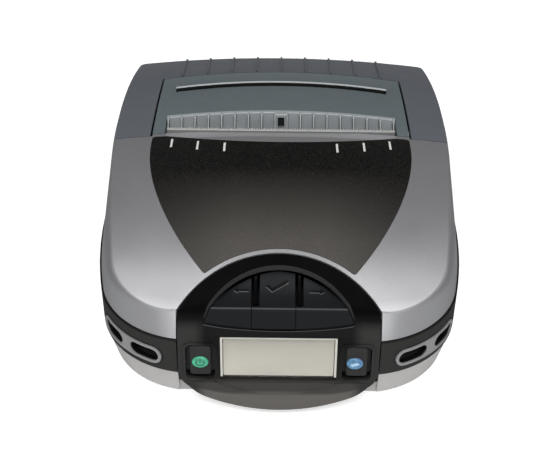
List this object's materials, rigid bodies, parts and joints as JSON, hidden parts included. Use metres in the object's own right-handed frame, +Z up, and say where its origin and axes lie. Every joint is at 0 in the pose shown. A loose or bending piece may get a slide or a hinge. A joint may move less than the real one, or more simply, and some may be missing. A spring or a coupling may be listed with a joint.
{
  "type": "portable thermal printer",
  "caption": "Portable thermal label printer with a domed silver case, hinged media cover, tear bar, keypad pod and small display.",
  "frame": {"origin": "middle of the footprint on the table, under the middle of the overall box", "axes": "+X to the right as seen from the display end, +Y from the display end to the cover's hinge, +Z up"},
  "size_m": [0.18, 0.226, 0.082],
  "materials": {
    "silver_plastic": "fine metallic silver paint look, satin",
    "case_silver": "plain light grey, satin",
    "cover_grey": "satin blue-grey",
    "panel_grey": "satin green-grey",
    "guide_grey": "smooth light blue-grey",
    "band_dark": "fine matte texture",
    "pod_dark": "satin charcoal",
    "key_dark": "satin",
    "overlay_dark": "sparkling dark speckle with bare surface",
    "button_dark": "satin",
    "icon_green": "glossy translucent green",
    "icon_blue": "glossy translucent blue",
    "clear_window": "clear, slight haze",
    "display_pale": "pale grey-beige blank display",
    "bright_frame": "bright, lightly brushed",
    "strap_metal": "cast and satin",
    "steel": "rolled sheet",
    "bright_steel": "bright ground edge",
    "aluminium": "plain extruded",
    "bronze": "sintered",
    "platen_rubber": "ground",
    "foot_rubber": "matte",
    "gear_white": "plain",
    "inner_dark": "plain, matte",
    "sensor_black": "glossy",
    "board_green": "solder mask",
    "battery_grey": "plain"
  },
  "bodies": {
    "case": {"lower_case": "case_silver", "bumper_band": "band_dark", "upper_case": "silver_plastic", "label_overlay": "overlay_dark", "case_screws": "steel", "rubber_feet": "foot_rubber", "strap_bezels": "strap_metal", "strap_cups": "inner_dark", "pod_housing": "pod_dark", "display_bezel": "bright_frame", "display_window": "clear_window", "display_module": "display_pale", "display_board": "inner_dark", "keypad_membrane": "key_dark", "tear_bar": "bright_steel", "print_head": "aluminium", "head_bracket": "steel", "head_springs": "steel", "frame_plates": "steel", "step_motor": "steel", "gear_posts": "steel", "media_tray": "inner_dark", "main_board": "board_green", "battery_pack": "battery_grey", "battery_contacts": "bronze", "port_board": "board_green", "dc_jack": "inner_dark", "usb_port": "steel", "latch_spring_left": "steel", "latch_spring_right": "steel", "hinge_pins": "steel"},
    "cover": {"media_cover": "cover_grey", "platen_carrier": "steel", "platen_bearings": "bronze", "door_pins": "steel"},
    "platen": {"platen_rubber": "platen_rubber", "platen_shaft": "steel", "platen_gear": "gear_white"},
    "exit_door": {"exit_door": "panel_grey", "exit_guide": "guide_grey", "label_sensor": "sensor_black"},
    "exit_roller": {"exit_roller": "inner_dark"},
    "motor_rotor": {"motor_shaft": "steel", "motor_pinion": "bronze"},
    "idler": {"idler_gear": "gear_white"},
    "key_left": {"key_left": "key_dark"},
    "key_enter": {"key_enter": "key_dark"},
    "key_right": {"key_right": "key_dark"},
    "power_button": {"power_button": "button_dark", "power_icon": "icon_green"},
    "feed_button": {"feed_button": "button_dark", "feed_icon": "icon_blue"},
    "guide_left": {"media_guide_left": "guide_grey"},
    "hub_left": {"media_hub_left": "gear_white"},
    "guide_right": {"media_guide_right": "guide_grey"},
    "hub_right": {"media_hub_right": "gear_white"},
    "guide_pinion": {"guide_pinion": "gear_white"},
    "port_cover": {"port_cover": "band_dark"},
    "latch_left": {"latch_button_left": "button_dark"},
    "latch_right": {"latch_button_right": "button_dark"}
  },
  "joints": [
    {"name": "cover_hinge", "type": "hinge", "parent": "case", "child": "cover", "pos_m": [0, 0.11, 0.037], "axis": [-1, 0, 0], "range_deg": [0, 95]},
    {"name": "exit_door_hinge", "type": "hinge", "parent": "cover", "child": "exit_door", "pos_m": [0, 0.094, 0.0594], "axis": [-1, 0, 0], "range_deg": [0, 30]},
    {"name": "platen_spin", "type": "hinge", "parent": "cover", "child": "platen", "pos_m": [0, 0.015, 0.0634], "axis": [1, 0, 0], "continuous": true},
    {"name": "idler_spin", "type": "hinge", "parent": "case", "child": "idler", "pos_m": [0.0656, 0.00965, 0.04413], "axis": [1, 0, 0], "continuous": true},
    {"name": "motor_spin", "type": "hinge", "parent": "case", "child": "motor_rotor", "pos_m": [0.0656, -0.00286, 0.03118], "axis": [1, 0, 0], "continuous": true},
    {"name": "exit_roller_spin", "type": "hinge", "parent": "exit_door", "child": "exit_roller", "pos_m": [0, 0.0083, 0.0714], "axis": [1, 0, 0], "continuous": true},
    {"name": "key_left_press", "type": "slide", "parent": "case", "child": "key_left", "axis": [0, 0.5, -0.866], "range_m": [0, 0.0015], "stiffness_N_per_m": 300},
    {"name": "key_enter_press", "type": "slide", "parent": "case", "child": "key_enter", "axis": [0, 0.5, -0.866], "range_m": [0, 0.0015], "stiffness_N_per_m": 300},
    {"name": "key_right_press", "type": "slide", "parent": "case", "child": "key_right", "axis": [0, 0.5, -0.866], "range_m": [0, 0.0015], "stiffness_N_per_m": 300},
    {"name": "power_press", "type": "slide", "parent": "case", "child": "power_button", "axis": [0, 0.9919, -0.1271], "range_m": [0, 0.0012], "stiffness_N_per_m": 300},
    {"name": "feed_press", "type": "slide", "parent": "case", "child": "feed_button", "axis": [0, 0.9919, -0.1271], "range_m": [0, 0.0012], "stiffness_N_per_m": 300},
    {"name": "guide_left_slide", "type": "slide", "parent": "case", "child": "guide_left", "axis": [1, 0, 0], "range_m": [0, 0.03]},
    {"name": "guide_right_slide", "type": "slide", "parent": "case", "child": "guide_right", "axis": [-1, 0, 0], "range_m": [0, 0.03]},
    {"name": "guide_pinion_spin", "type": "hinge", "parent": "case", "child": "guide_pinion", "pos_m": [0, 0.06, 0.0061], "axis": [0, 0, -1], "continuous": true},
    {"name": "hub_left_spin", "type": "hinge", "parent": "guide_left", "child": "hub_left", "pos_m": [-0.0535, 0.06, 0.0396], "axis": [1, 0, 0], "continuous": true},
    {"name": "hub_right_spin", "type": "hinge", "parent": "guide_right", "child": "hub_right", "pos_m": [0.0535, 0.06, 0.0396], "axis": [1, 0, 0], "continuous": true},
    {"name": "port_cover_hinge", "type": "hinge", "parent": "case", "child": "port_cover", "pos_m": [0.0891, -0.01345, 0.028], "axis": [0, 0, 1], "range_deg": [0, 100]},
    {"name": "latch_left_press", "type": "slide", "parent": "case", "child": "latch_left", "axis": [1, 0, 0], "range_m": [0, 0.003], "stiffness_N_per_m": 500, "deforming": ["latch_spring_left"]},
    {"name": "latch_right_press", "type": "slide", "parent": "case", "child": "latch_right", "axis": [-1, 0, 0], "range_m": [0, 0.003], "stiffness_N_per_m": 500, "deforming": ["latch_spring_right"]}
  ],
  "couplings": [
    {"joint": "idler_spin", "follows": "platen_spin", "ratio": -0.66667},
    {"joint": "motor_spin", "follows": "platen_spin", "ratio": 1.3333},
    {"joint": "guide_right_slide", "follows": "guide_left_slide", "ratio": 1},
    {"joint": "guide_pinion_spin", "follows": "guide_left_slide", "rad_per_m": 125}
  ]
}
